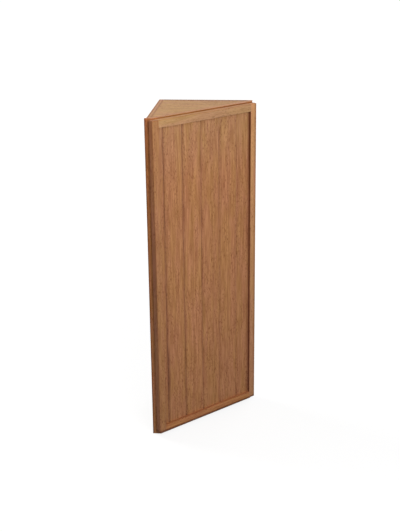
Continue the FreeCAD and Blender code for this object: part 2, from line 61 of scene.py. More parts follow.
# %% [markdown]
# ## Helpers for finishes
# Colours are easiest to pick as hex values, the way a paint card gives them, but a shader
# mixes light, so each value is turned to linear first. `add` puts in one node with its
# settings and links in a single line, which keeps a long wood recipe readable. A key of
# `inputs` is a socket's name, or its number where several sockets share a name.

# %% Colour and node helpers
def linear(hex_colour):
    """An sRGB hex value as the linear colour that a shader works with."""
    parts = [int(hex_colour[i:i + 2], 16) / 255 for i in (1, 3, 5)]
    return [p / 12.92 if p <= 0.04045 else ((p + 0.055) / 1.055) ** 2.4 for p in parts] + [1.0]


def connect(tree, node, inputs):
    """Links each input to another node's socket, or sets it to a number or a colour."""
    for key, value in inputs.items():
        if isinstance(value, bpy.types.NodeSocket):
            tree.links.new(value, node.inputs[key])
        else:
            node.inputs[key].default_value = value


def add(tree, kind, inputs=None, **settings):
    """Adds one node with its settings and inputs."""
    node = tree.nodes.new("ShaderNode" + kind)
    for name, value in settings.items():
        setattr(node, name, value)
    connect(tree, node, inputs or {})
    return node


def new_finish(name):
    """An empty material, its node tree and its surface shader."""
    finish = bpy.data.materials.new(name)
    finish.use_nodes = True
    tree = finish.node_tree
    tree.nodes.clear()
    shader = add(tree, "BsdfPrincipled")
    add(tree, "OutputMaterial", {"Surface": shader.outputs[0]})
    return finish, tree, shader


WHITE = linear("#FFFFFF")
print("mid grey in linear light", round(linear("#808080")[0], 3))

# %% [markdown]
# ## Stained oak
# The door and the face frame are solid oak under a warm medium stain and a satin lacquer.
# The eye sees five things: broad quiet bands, clouds of pinker and yellower wood, narrow
# streaks, short dark dashes where the stain has gathered in the pores, and the shine of the
# lacquer. The first four are long in the direction of the grain and narrow across it, so each
# is a noise whose coordinates are stretched. A picture of oak could be laid on instead, but
# noise has no seams and fits a board of any size. Real pores are about 0.3 mm wide, which is far
# below a pixel here, so they are drawn as the wider dashes that they form in groups.
#
# A layer of the grain has a width and a length in millimetres, and two levels of the noise
# between which it rises from nothing to full. Two layers aren't seen by themselves: patches
# say where the pores are many, and fine fibres make the surface a little uneven.

# %% Layers of the grain
BROAD = {"size_mm": (20, 1500), "between": (0.25, 0.75)}
CLOUD = {"size_mm": (34, 170), "between": (0.35, 0.65)}
STREAK = {"size_mm": (5, 80), "between": (0.3, 0.7), "detail": 3.0}
PORE = {"size_mm": (2.4, 10), "between": (0.5, 0.72)}
PATCH = {"size_mm": (22, 150), "between": (0.3, 0.62)}
FIBRE = {"size_mm": (1.2, 40), "between": (0.2, 0.8)}
NOISE_ROUGHNESS = 0.6
SMOOTH = {"interpolation_type": "SMOOTHSTEP"}


def grain(tree, place, along, size_mm, between, detail=2.0):
    """Noise drawn out along the grain, from 0 to 1 between two of its levels."""
    width, length = size_mm
    counts = {axis: 1 / (width * MM) for axis in "XYZ"}
    counts[along] = 1 / (length * MM)
    scale = [counts[axis] for axis in "XYZ"]
    spots = add(tree, "VectorMath", {0: place, 1: scale}, operation="MULTIPLY").outputs[0]
    noise = {"Vector": spots, "Scale": 1.0, "Detail": detail, "Roughness": NOISE_ROUGHNESS}
    noise = add(tree, "TexNoise", noise).outputs[0]
    rise = {"Value": noise, "From Min": between[0], "From Max": between[1]}
    return add(tree, "MapRange", rise, **SMOOTH).outputs[0]


print("pores are drawn", *PORE["size_mm"], "mm wide and long")

# %% Colour of oak
BROAD_TONES = (0.95, 1.045)
PINKISH = "#FFFAFF"
YELLOWISH = "#FDFFF0"
MULTIPLY = {"data_type": "RGBA", "blend_type": "MULTIPLY"}


def oak_colour(tree, place, along, colours):
    """The colour of the wood without any extra stain, and the share of pores in it."""
    pale, deep, pore_brown = [linear(colour) for colour in colours]
    streaks = grain(tree, place, along, **STREAK)
    dashes = grain(tree, place, along, **PORE)
    patches = grain(tree, place, along, **PATCH)
    pores = add(tree, "Math", {0: dashes, 1: patches}, operation="MULTIPLY").outputs[0]
    wood = add(tree, "Mix", {0: streaks, 6: pale, 7: deep}, data_type="RGBA").outputs[2]
    wood = add(tree, "Mix", {0: pores, 6: wood, 7: pore_brown}, data_type="RGBA").outputs[2]
    broad = {"Value": grain(tree, place, along, **BROAD)}
    broad = {**broad, "To Min": BROAD_TONES[0], "To Max": BROAD_TONES[1]}
    broad = add(tree, "MapRange", broad).outputs[0]
    wood = add(tree, "Mix", {0: 1.0, 6: wood, 7: broad}, **MULTIPLY).outputs[2]
    clouds = grain(tree, place, along, **CLOUD)
    tint = {0: clouds, 6: linear(PINKISH), 7: linear(YELLOWISH)}
    tint = add(tree, "Mix", tint, data_type="RGBA").outputs[2]
    wood = add(tree, "Mix", {0: 1.0, 6: wood, 7: tint}, **MULTIPLY).outputs[2]
    return wood, pores


print("broad bands change the tone from", BROAD_TONES[0], "to", BROAD_TONES[1])

# %% [markdown]
# ## One recipe for every board
# `along` is the axis of the grain, and `turn` first swings the pattern by 45 degrees for pieces that
# lie on the diagonal, so that a board's own width and length line up with the pattern: its X then runs
# across the door to the right, its Y into the box and its Z up. `extra` is for boards that took more
# stain in some places, and for painted shade and painted light on some of them. It gives back the
# place to read the grain at and a colour of stain and painted shade to multiply by. Lacquer is a
# little rougher over the pores. The sharp edges of real boards are eased with a stroke of sandpaper. A
# Bevel modifier would have to cut every solid for that, so the shader bends the light there instead,
# within less than a millimetre.

# %% Recipe for oak
LACQUER_ROUGHNESS = 0.46
PORE_ROUGHNESS = 0.62
EASED_EDGE = 0.9
RELIEF_DEPTH = 0.2
RELIEF_STRENGTH = 0.25


def oak(name, along, turn, colours, extra=None):
    """A finish of stained and lacquered oak."""
    finish, tree, shader = new_finish(name)
    place = add(tree, "TexCoord").outputs["Object"]
    place = add(tree, "Mapping", {"Vector": place, "Rotation": (0, 0, turn)}).outputs[0]
    stain = None
    if extra:
        place, stain = extra(tree, place)
    wood, pores = oak_colour(tree, place, along, colours)
    # This colour holds real stain and, on the door and the face frame, painted shade and painted
    # light.
    if stain:
        wood = add(tree, "Mix", {0: 1.0, 6: wood, 7: stain}, **MULTIPLY).outputs[2]
    gloss = {"Value": pores, "To Min": LACQUER_ROUGHNESS, "To Max": PORE_ROUGHNESS}
    gloss = add(tree, "MapRange", gloss).outputs[0]
    fibre = grain(tree, place, along, **FIBRE)
    relief = add(tree, "Math", {0: fibre, 1: pores}, operation="SUBTRACT").outputs[0]
    eased = add(tree, "Bevel", {"Radius": EASED_EDGE * MM}, samples=4).outputs[0]
    bump = {"Height": relief, "Strength": RELIEF_STRENGTH, "Distance": RELIEF_DEPTH * MM}
    bump = add(tree, "Bump", {**bump, "Normal": eased}).outputs[0]
    connect(tree, shader, {"Base Color": wood, "Roughness": gloss, "Normal": bump})
    connect(tree, shader, {"IOR": 1.5, "Specular IOR Level": 0.1})
    return finish


print("edges look eased by", EASED_EDGE, "mm")

# %% [markdown]
# ## The door panel
# The panel looks like a row of planks: V-grooves part it every 74.3 mm. Everything on it is
# counted from the first groove, whose place is worked out from the panel's own box, because
# the panel is longer than the part that shows.

# %% Where the grooves are
GROOVE_PITCH = 74.3
FIRST_GROOVE = 29.4
GROOVE_DEPTH = 1.9
PANEL_THICKNESS = 6.35
PANEL_HIDDEN = 8.5
low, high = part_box("door_panel")
middle = (low + high) / 2
across_middle = (middle.x + middle.y) / sqrt(2)
panel_length = sqrt(2) * (high.x - low.x) - PANEL_THICKNESS * MM
first_groove = across_middle - panel_length / 2 + FIRST_GROOVE * MM
panel_face = (middle.y - middle.x) / sqrt(2) - PANEL_THICKNESS * MM / 2
half_across = panel_length / 2 - PANEL_HIDDEN * MM
opening_foot = low.z + PANEL_HIDDEN * MM
opening_head = high.z - PANEL_HIDDEN * MM
print("panel", round(panel_length / MM, 1), "mm, first groove at", round(first_groove / MM, 1))

# %% [markdown]
# ## Planks
# Each plank is cut from another place in the tree, so the grain has to jump at every groove.
# Every plank could have a material of its own, but one that knows the plank's number is enough.
# The number comes from the distance across the door, and a white noise turns it into a shift along the
# trunk and a tone. `DRAW` picks one of many such rows of planks. Below 850 mm the wood is multiplied
# by a faint red, which fades out by 1020 mm, so its top is paler and yellower. The last few
# millimetres under the top rail are painted lighter, a painted light that hides most of the rail's
# shadow there.

# %% Shift and tone of each plank
DRAW = 9
PLANK_TONES = (0.97, 1.03)
REDDENING = "#FFF3ED"
# The panel is multiplied by the faint red up to the first height, less above it and not at all from
# the second.
RED_FADES_FROM = 850
RED_GONE_AT = 1020
# Painted light: a paler strip under the top rail that hides most of the rail's shadow.
RAIL_LIGHT_FROM = 8
RAIL_LIGHT_FULL = 4
PAINTED_RAIL_LIGHT = 1.28


def plank_tones(tree, parts, steps):
    """The shift of the grain in each plank, and the plank's tone with a painted light under the top
    rail.
    """
    plank = add(tree, "Math", {0: steps}, operation="FLOOR").outputs[0]
    chance = {"W": plank, "Vector": (DRAW, 0, 0)}
    chance = add(tree, "TexWhiteNoise", chance, noise_dimensions="4D")
    tone = {"Value": chance.outputs["Value"], "To Min": PLANK_TONES[0], "To Max": PLANK_TONES[1]}
    tone = add(tree, "MapRange", tone).outputs[0]
    rail_light = {"Value": parts.outputs["Z"], "To Min": 1.0, "To Max": PAINTED_RAIL_LIGHT}
    rail_light["From Min"] = opening_head - RAIL_LIGHT_FROM * MM
    rail_light["From Max"] = opening_head - RAIL_LIGHT_FULL * MM
    rail_light = add(tree, "MapRange", rail_light, **SMOOTH).outputs[0]
    tone = add(tree, "Math", {0: tone, 1: rail_light}, operation="MULTIPLY").outputs[0]
    upper = {"Value": parts.outputs["Z"], "From Min": RED_FADES_FROM * MM, "From Max": RED_GONE_AT * MM}
    upper = add(tree, "MapRange", upper).outputs[0]
    hue = {0: upper, 6: linear(REDDENING), 7: WHITE}
    hue = add(tree, "Mix", hue, data_type="RGBA").outputs[2]
    tone = add(tree, "VectorMath", {0: hue, "Scale": tone}, operation="SCALE").outputs[0]
    return chance.outputs["Color"], tone


print("planks change hue between", RED_FADES_FROM, "and", RED_GONE_AT, "mm up")

# %% [markdown]
# ## Stain in the grooves
# Stain gathers where a cloth can't wipe it off. A point that lies deeper than the panel's face, but
# not as deep as its back, is in a groove and turns a dark red brown, and up to a centimetre on either
# side takes a part of it, most of all on the left of the door. The corners beside the stiles get the
# same dark colour as a painted shade of the recess, more of it near the top, and near the foot of the
# first groove the oak has a dark mineral streak. Each of the three is a share between 0 and 1, and
# they add up. `steps` counts the grooves across the door, so a millimetre is 1 / 74.3 of a step.

# %% Stain in and beside the grooves
IN_GROOVE = 0.32
GROOVE_EDGE = 0.1
GROOVE_FULL = 0.6 * GROOVE_DEPTH
BESIDE_GROOVE = 0.38
BESIDE_FROM = 10.0
BESIDE_FULL = 1.5
LAST_GROOVE = 4
LAST_SHARE = 0.35


def distance(tree, value, middle):
    """How far a value lies from a middle, on either side of it."""
    offset = add(tree, "Math", {0: value, 1: middle}, operation="SUBTRACT").outputs[0]
    return add(tree, "Math", {0: offset}, operation="ABSOLUTE").outputs[0]


def groove_stain(tree, parts, steps):
    """How much stain lies in and beside the grooves, less and less towards the right."""
    inside = {"Value": parts.outputs["Y"], "From Min": panel_face + GROOVE_EDGE * MM}
    inside = {**inside, "From Max": panel_face + GROOVE_FULL * MM, "To Max": IN_GROOVE}
    inside = add(tree, "MapRange", inside).outputs[0]
    nearest = add(tree, "Math", {0: steps}, operation="ROUND").outputs[0]
    beside = {"Value": distance(tree, steps, nearest), "From Min": BESIDE_FROM / GROOVE_PITCH}
    beside = {**beside, "From Max": BESIDE_FULL / GROOVE_PITCH, "To Max": BESIDE_GROOVE}
    beside = add(tree, "MapRange", beside, **SMOOTH).outputs[0]
    stain_and_shade_share = add(tree, "Math", {0: inside, 1: beside}, operation="ADD").outputs[0]
    share = {"Value": nearest, "From Max": LAST_GROOVE, "To Min": 1.0, "To Max": LAST_SHARE}
    share = add(tree, "MapRange", share).outputs[0]
    return add(tree, "Math", {0: stain_and_shade_share, 1: share}, operation="MULTIPLY").outputs[0]


print("stain reaches", BESIDE_FROM, "mm from a groove")

# %% Painted shade beside the stiles
CORNER_WIDTH = 12
CORNER_SHARES = (0.6, 0.95)
CORNER_FROM = 800
CORNER_FULL = 1000


def corner_shade(tree, parts):
    """How much painted shade darkens the corners beside the stiles."""
    aside = distance(tree, parts.outputs["X"], across_middle)
    corner = {"Value": aside, "From Min": half_across - CORNER_WIDTH * MM, "From Max": half_across}
    corner = add(tree, "MapRange", corner, **SMOOTH).outputs[0]
    share = {"Value": parts.outputs["Z"], "From Min": CORNER_FROM * MM, "From Max": CORNER_FULL * MM}
    share = {**share, "To Min": CORNER_SHARES[0], "To Max": CORNER_SHARES[1]}
    share = add(tree, "MapRange", share).outputs[0]
    return add(tree, "Math", {0: corner, 1: share}, operation="MULTIPLY").outputs[0]


# The reach printed here is that of the painted shade in the corners.
print("stain reaches", CORNER_WIDTH, "mm from the stiles")

# %% Mineral streak, with the distances at which it ends and is full
MINERAL_ASIDE = 4.5
MINERAL_UP = 210
MINERAL_WIDTHS = (7.0, 1.5)
MINERAL_REACHES = (130, 30)
MINERAL_SHARE = 0.45


def mineral_streak(tree, parts, steps):
    """How dark the streak beside the first groove is; it fades out to the sides and the ends."""
    outer, inner = [width / GROOVE_PITCH for width in MINERAL_WIDTHS]
    aside = distance(tree, steps, MINERAL_ASIDE / GROOVE_PITCH)
    aside = {"Value": aside, "From Min": outer, "From Max": inner}
    aside = add(tree, "MapRange", aside, **SMOOTH).outputs[0]
    outer, inner = [reach * MM for reach in MINERAL_REACHES]
    level = distance(tree, parts.outputs["Z"], MINERAL_UP * MM)
    level = {"Value": level, "From Min": outer, "From Max": inner, "To Max": MINERAL_SHARE}
    level = add(tree, "MapRange", level, **SMOOTH).outputs[0]
    return add(tree, "Math", {0: aside, 1: level}, operation="MULTIPLY").outputs[0]


print("mineral streak", MINERAL_UP, "mm up")

# %% Planks, their stain and their painted light and shade together
# One dark red brown: stain in the grooves and painted shade in the corners beside the stiles.
STAIN_AND_CORNER_SHADE = "#B5A0AA"
FRONT_TO = 1.2 * GROOVE_DEPTH


def door_planks(tree, place):
    """Shifts the grain plank by plank; gives the new place and the stain, painted shade and painted
    light to multiply by.
    """
    parts = add(tree, "SeparateXYZ", {0: place})
    steps = {0: parts.outputs["X"], 1: first_groove}
    steps = add(tree, "Math", steps, operation="SUBTRACT").outputs[0]
    steps = add(tree, "Math", {0: steps, 1: GROOVE_PITCH * MM}, operation="DIVIDE").outputs[0]
    shift, tone = plank_tones(tree, parts, steps)
    moved = add(tree, "VectorMath", {0: place, 1: shift}, operation="ADD").outputs[0]
    stain_and_shade_share = groove_stain(tree, parts, steps)
    for more in (corner_shade(tree, parts), mineral_streak(tree, parts, steps)):
        stain_and_shade_share = add(tree, "Math", {0: stain_and_shade_share, 1: more}, operation="ADD").outputs[0]
    front = {0: parts.outputs["Y"], 1: panel_face + FRONT_TO * MM}
    front = add(tree, "Math", front, operation="LESS_THAN").outputs[0]
    stain_and_shade_share = add(tree, "Math", {0: stain_and_shade_share, 1: front}, operation="MULTIPLY").outputs[0]
    stain = {0: stain_and_shade_share, 6: tone, 7: linear(STAIN_AND_CORNER_SHADE)}
    return moved, add(tree, "Mix", stain, data_type="RGBA").outputs[2]


print("stain", STAIN_AND_CORNER_SHADE, "on the panel's front")

# %% [markdown]
# ## The door's frame
# Four slim members hold the panel, and their edges are darkened with painted shade. On the narrow
# edges of the stiles that step down to the panel, the walls of the recess, it is dark, except near the
# front, and darkest in the upper half. The rounded outer edges are a little darker than the flat
# faces, and more again lower down. Both follow from one distance: how far a point lies outside the
# opening, which is nothing at the inner edge and 23.8 mm at the outer one. The lower rail is counted
# in the same way, downwards: its ledge keeps a trace of painted shade, and its rounded lower edge,
# which faces down, turns dark. The upper edge of the door is a little darker too. A mask could be
# painted for all this by hand, but a distance serves four members at once and stays sharp up close.

# %% Painted shade of the door's frame, and where each begins and is full, in mm
# Painted shade on the stiles' inner edges, the walls of the recess, darkest in the upper half.
INNER_PAINTED_SHADE = "#9E8888"
UPPER_PAINTED_SHADE = "#866C60"
# Painted shade on the rounded outer edges, more of it lower down.
OUTER_PAINTED_SHADE = "#FAE8E2"
LOWER_PAINTED_SHADE = "#E1D2CF"
# Painted shade on the lower rail's ledge, its rounded lower edge and the door's upper edge.
LEDGE_PAINTED_SHADE = "#E4DAD8"
FOOT_PAINTED_SHADE = "#B4A29C"
TOP_PAINTED_SHADE = "#F0DFCD"
INNER_EDGE = (0.8, 0.1)
OUTER_EDGE = (22.3, 23.7)
FOOT_EDGE = (14.1, 19.6)
TOP_EDGE = (20.8, 23.3)
RECESS_SHADE_DEPTH = (0.5, 4.0)
LOWER_SHADE_HEIGHT = (1000, 550)
OPENING_SLACK = 0.3
stile_points = frame["nodes"]["door_stile_left"].data.vertices
door_front = min((point.co.y - point.co.x) / sqrt(2) for point in stile_points)
print("opening", round(2 * half_across / MM, 1), "mm wide, from", round(opening_foot / MM, 1), "mm up")


# %% Dark edges of the door's frame
def door_edge_shade(tree, place):
    """Leaves the grain where it is; gives the painted shade of the inner and outer edges."""
    parts = add(tree, "SeparateXYZ", {0: place})
    height = parts.outputs["Z"]
    beside = {0: distance(tree, parts.outputs["X"], across_middle), 1: half_across}
    beside = add(tree, "Math", beside, operation="SUBTRACT").outputs[0]
    below = add(tree, "Math", {0: opening_foot, 1: height}, operation="SUBTRACT").outputs[0]
    above = add(tree, "Math", {0: height, 1: opening_head}, operation="SUBTRACT").outputs[0]
    on_rail = add(tree, "Math", {0: beside, 1: 0.0}, operation="LESS_THAN").outputs[0]
    start, full = [door_front + depth * MM for depth in RECESS_SHADE_DEPTH]
    recess_shade = {"Value": parts.outputs["Y"], "From Min": start, "From Max": full}
    recess_shade = add(tree, "MapRange", recess_shade).outputs[0]
    lower_shade = {"Value": height, "From Min": LOWER_SHADE_HEIGHT[0] * MM, "From Max": LOWER_SHADE_HEIGHT[1] * MM}
    lower_shade = add(tree, "MapRange", lower_shade).outputs[0]
    upper = add(tree, "Math", {0: 1.0, 1: lower_shade}, operation="SUBTRACT").outputs[0]
    upper = add(tree, "Math", {0: recess_shade, 1: upper}, operation="MULTIPLY").outputs[0]
    bands = [(beside, INNER_EDGE, INNER_PAINTED_SHADE, recess_shade), (beside, INNER_EDGE, UPPER_PAINTED_SHADE, upper),
             (beside, OUTER_EDGE, OUTER_PAINTED_SHADE, 1.0), (beside, OUTER_EDGE, LOWER_PAINTED_SHADE, lower_shade),
             (below, INNER_EDGE, LEDGE_PAINTED_SHADE, on_rail), (below, FOOT_EDGE, FOOT_PAINTED_SHADE, 1.0),
             (above, TOP_EDGE, TOP_PAINTED_SHADE, 1.0)]
    stain = WHITE
    for away, (start, full), colour, where in bands:
        share = {"Value": away, "From Min": start * MM, "From Max": full * MM}
        share = add(tree, "MapRange", share, **SMOOTH).outputs[0]
        outside = {0: away, 1: -OPENING_SLACK * MM}
        outside = add(tree, "Math", outside, operation="GREATER_THAN").outputs[0]
        share = add(tree, "Math", {0: share, 1: outside}, operation="MULTIPLY").outputs[0]
        share = add(tree, "Math", {0: share, 1: where}, operation="MULTIPLY").outputs[0]
        stain = {0: share, 6: stain, 7: linear(colour)}
        stain = add(tree, "Mix", stain, data_type="RGBA").outputs[2]
    return place, stain


print("front of the door at", round(door_front / MM, 1), "mm, counted into the box")

# %% [markdown]
# ## The right stile
# The stile on the hinge side carries the painted shade of the others and two things more: a painted
# falloff of light, so that it darkens from its head to its foot, and painted shade on its rim, which
# is darker.

# %% Right stile
# Painted shade on the rim, and a painted falloff of light from the head down to the foot.
RIM_PAINTED_SHADE = "#DED8D4"
RIM_FROM = 11.5
RIM_FULL = 19
FALLOFF_AT_FOOT = 0.9
FALLOFF_AT_HEAD = 1.11


def edge_shade_and_falloff(tree, place):
    """The painted shade of the edges, painted shade on the rim, and a painted falloff of light from
    head to foot.
    """
    place, stain = door_edge_shade(tree, place)
    parts = add(tree, "SeparateXYZ", {0: place})
    outward = {0: parts.outputs["X"], 1: across_middle + half_across}
    outward = add(tree, "Math", outward, operation="SUBTRACT").outputs[0]
    rim = {"Value": outward, "From Min": RIM_FROM * MM, "From Max": RIM_FULL * MM}
    rim = add(tree, "MapRange", rim, **SMOOTH).outputs[0]
    stain = add(tree, "Mix", {0: rim, 6: stain, 7: linear(RIM_PAINTED_SHADE)}, **MULTIPLY).outputs[2]
    tone = {"Value": parts.outputs["Z"], "From Min": opening_foot, "From Max": opening_head}
    tone = {**tone, "To Min": FALLOFF_AT_FOOT, "To Max": FALLOFF_AT_HEAD}
    tone = add(tree, "MapRange", tone).outputs[0]
    return place, add(tree, "VectorMath", {0: stain, "Scale": tone}, operation="SCALE").outputs[0]


print("tone of the right stile from", FALLOFF_AT_FOOT, "at its foot to", FALLOFF_AT_HEAD, "at its head")

# %% [markdown]
# ## The face frame
# The frame behind the door is stained redder and darker than the door, most of all near the top, and
# part of that darkness is painted shade, as the frame stands behind the door. Its rails are darker
# than its stiles, a painted shadow of the gap above the door. Only a sliver of it shows beside and
# above the shut door, and there the outermost arris is darker again, a painted shade of the edge. The
# frame's level top is as pale as the boards of the box, so the darker colour stops just below the top.
# Stiles and rails differ only in two colours, so one function makes both.

# %% Darker face frame
# Painted shade on the outermost arris of the face frame.
ARRIS_PAINTED_SHADE = "#CBBAB1"
ARRIS_FROM = 5.5
ARRIS_FULL = 2.5
DULL_UP_TO = 300
FULL_FROM = 1000
END_SKIN = 0.2
frame_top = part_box("frame_rail_top")[1].z
frame_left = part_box("frame_stile_left")[0].x


def darker_front(head, foot):
    """A stain with painted shade for the face frame, from head to foot, that leaves its level top
    alone.
    """
    # Stain and painted shade: the rails' colour is a painted shadow of the gap, the arris a painted
    # shade.
    def stained(tree, place):
        parts = add(tree, "SeparateXYZ", {0: place})
        under = {0: parts.outputs["Z"], 1: frame_top - END_SKIN * MM}
        under = add(tree, "Math", under, operation="LESS_THAN").outputs[0]
        aside = {0: parts.outputs["X"], 1: parts.outputs["Y"]}
        aside = add(tree, "Math", aside, operation="SUBTRACT").outputs[0]
        start, full = [sqrt(2) * (frame_left + depth * MM) for depth in (ARRIS_FROM, ARRIS_FULL)]
        arris = {"Value": aside, "From Min": start, "From Max": full}
        arris = add(tree, "MapRange", arris, **SMOOTH).outputs[0]
        rise = {"Value": parts.outputs["Z"], "From Min": DULL_UP_TO * MM, "From Max": FULL_FROM * MM}
        rise = add(tree, "MapRange", rise).outputs[0]
        front = {0: rise, 6: linear(foot), 7: linear(head)}
        front = add(tree, "Mix", front, data_type="RGBA").outputs[2]
        front = {0: arris, 6: front, 7: linear(ARRIS_PAINTED_SHADE)}
        front = add(tree, "Mix", front, data_type="RGBA").outputs[2]
        shades = {0: under, 6: WHITE, 7: front}
        return place, add(tree, "Mix", shades, data_type="RGBA").outputs[2]
    return stained


print("face frame ends at", round(frame_top / MM, 1), "mm")

# %% [markdown]
# ## Edges of plywood
# Side and back are veneered plywood. Only their ends, at the top and at the underside, show
# that: the outer plies are cut across the grain and drink the stain, so they turn darker than
# the ply in the middle. The back, which nobody sees on the wall, is of a darker plywood. The
# plies could be thin boards of their own, but only their ends would ever show, so the distance
# from the board's outer face tells which ply a point is in.

# %% Plies at the ends of a board
BOARD = 15.9
PLY = 5.3
half_height = frame_top / 2


def ply_edges(axis, outer_face, outer_stain, middle_stain):
    """A stain for the plies at the ends of a board whose thickness runs along an axis."""
    def plies(tree, place):
        parts = add(tree, "SeparateXYZ", {0: place})
        at_end = {0: distance(tree, parts.outputs["Z"], half_height), 1: half_height - END_SKIN * MM}
        at_end = add(tree, "Math", at_end, operation="GREATER_THAN").outputs[0]
        deep = distance(tree, parts.outputs[axis], outer_face)
        outer_ply = {0: distance(tree, deep, BOARD / 2 * MM), 1: PLY / 2 * MM}
        outer_ply = add(tree, "Math", outer_ply, operation="GREATER_THAN").outputs[0]
        ends = {0: outer_ply, 6: linear(middle_stain), 7: linear(outer_stain)}
        ends = add(tree, "Mix", ends, data_type="RGBA").outputs[2]
        shades = {0: at_end, 6: WHITE, 7: ends}
        return place, add(tree, "Mix", shades, data_type="RGBA").outputs[2]
    return plies


side_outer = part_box("side_panel_left")[0].x
back_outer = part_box("back_panel")[1].y
print("outer faces at", round(side_outer / MM, 1), "and", round(back_outer / MM, 1), "mm")

# %% [markdown]
# ## Oak on every board
# Uprights carry the grain up and down, as do the side and the back, rails along their length,
# and the level boards of the box along the wall. The colours are those of the wood in plain
# light: a honey brown, a redder brown in the streaks and a dark brown in the pores. No two
# boards take stain alike: the door's top rail and right stile came out a little paler and
# yellower than its panel, the left stile duller, the bottom rail a little redder and the level
# boards of the box tan. The hanging rails inside the back are pine, which was left pale.

# %% Colours of the boards: the wood, its streaks and its pores
HONEY = ("#BA845C", "#A36F4A", "#7D4C32")
SANDY = ("#BC8D66", "#9F714C", "#7B4E36")
DULLER = ("#B17F59", "#9B6A48", "#774A31")
TAN = ("#B68A59", "#9F7347", "#7A4F30")
PALER = ("#C9946C", "#B4815A", "#8E5D40")
STRAW = ("#BD936C", "#AA815B", "#886242")
REDDER = ("#C08658", "#A86E46", "#80492D")
PINE = ("#D9B483", "#C79A66", "#A87C4E")
# The face frame's colours are partly stain and partly painted shade; the rails' colour is a painted
# shadow of the gap above the door.
upright_stain_and_shade = darker_front("#F5DFC3", "#FFF9F9")
rail_gap_shade = darker_front("#D2C1AA", "#D2C1AA")
side_plies = ply_edges("X", side_outer, "#DCCDBD", "#FFFFFF")
back_plies = ply_edges("Y", back_outer, "#AE9A84", "#CFC3B0")
print("panel", SANDY[0], "face frame", HONEY[0], "level boards", TAN[0])

# %% Which oak goes where
DIAGONAL = radians(-45)
STRAIGHT = 0
levels = ("lower", "middle", "upper")
lippings = [f"shelf_lipping_{level}" for level in levels]
shelves = [f"shelf_{level}" for level in levels]
boards = [
    ("stained_oak_planks", "Z", DIAGONAL, SANDY, door_planks, ["door_panel"]),
    ("stained_oak_door_upright", "Z", DIAGONAL, DULLER, door_edge_shade, ["door_stile_left"]),
    ("stained_oak_paler_upright", "Z", DIAGONAL, PALER, edge_shade_and_falloff, ["door_stile_right"]),
    ("stained_oak_straw_rail", "X", DIAGONAL, STRAW, door_edge_shade, ["door_rail_top"]),
    ("stained_oak_redder_rail", "X", DIAGONAL, REDDER, door_edge_shade, ["door_rail_bottom"]),
    ("stained_oak_frame_upright", "Z", DIAGONAL, HONEY, upright_stain_and_shade,
     ["frame_stile_left", "frame_stile_right"]),
    ("stained_oak_frame_rail", "X", DIAGONAL, HONEY, rail_gap_shade,
     ["frame_rail_top", "frame_rail_bottom"]),
    ("stained_oak_lipping", "X", DIAGONAL, HONEY, None, lippings),
    ("oak_plywood_side", "Z", STRAIGHT, SANDY, side_plies, ["side_panel_left"]),
    ("oak_plywood_back", "Z", STRAIGHT, SANDY, back_plies, ["back_panel"]),
    ("oak_veneer_level", "X", STRAIGHT, TAN, None, ["top_panel", "bottom_panel", *shelves]),
    ("plain_pine", "X", STRAIGHT, PINE, None, ["hanging_rail_upper", "hanging_rail_lower"]),
]
print(len(boards), "finishes of wood")


# %% Put the oak on
def dress(finish, *names):
    """Gives pieces a finish in place of the one that they came with."""
    for name in names:
        frame["nodes"][name].data.materials.clear()
        frame["nodes"][name].data.materials.append(finish)
    print(finish.name, "on", len(names), "pieces")


for name, along, turn, colours, extra, pieces in boards:
    dress(oak(name, along, turn, colours, extra), *pieces)

# %% [markdown]
# ## Metal, plastic and rubber
# The fittings hide behind the door. Hinges, strike plate and screws are steel with a bright
# zinc coat: a pale grey metal whose crystals make soft cloudy patches. The shelf pins are
# nickel plated, which is smoother and warmer. The catch has a brown moulded ABS case with a
# fine spark-eroded grain, and the bumpers are soft rubber. One recipe with two close colours
# in cloudy spots gives all of them. Grit of 0.6 mm is coarser than the real one, so that it
# still shows.

# %% Recipe for the fittings
SPOT_DETAIL = 3.0
SPOT_LEVELS = (0.35, 0.65)
SPOT_ROUGHER = 0.1
SPOT_STRENGTH = 0.3


def speckled(name, pale, deep, spot_mm, rough, metal, bump_mm):
    """A finish with cloudy spots of two close colours and a fine uneven surface."""
    finish, tree, shader = new_finish(name)
    place = add(tree, "TexCoord").outputs["Object"]
    spots = {"Vector": place, "Scale": 1 / (spot_mm * MM), "Detail": SPOT_DETAIL}
    spots = {"Value": add(tree, "TexNoise", spots).outputs[0]}
    spots = {**spots, "From Min": SPOT_LEVELS[0], "From Max": SPOT_LEVELS[1]}
    spots = add(tree, "MapRange", spots).outputs[0]
    colour = {0: spots, 6: linear(pale), 7: linear(deep)}
    colour = add(tree, "Mix", colour, data_type="RGBA").outputs[2]
    gloss = {"Value": spots, "To Min": rough, "To Max": rough + SPOT_ROUGHER}
    gloss = add(tree, "MapRange", gloss).outputs[0]
    bump = {"Height": spots, "Strength": SPOT_STRENGTH, "Distance": bump_mm * MM}
    bump = add(tree, "Bump", bump).outputs[0]
    connect(tree, shader, {"Base Color": colour, "Roughness": gloss, "Normal": bump})
    connect(tree, shader, {"Metallic": metal})
    return finish


print("deep spots are rougher by", SPOT_ROUGHER)

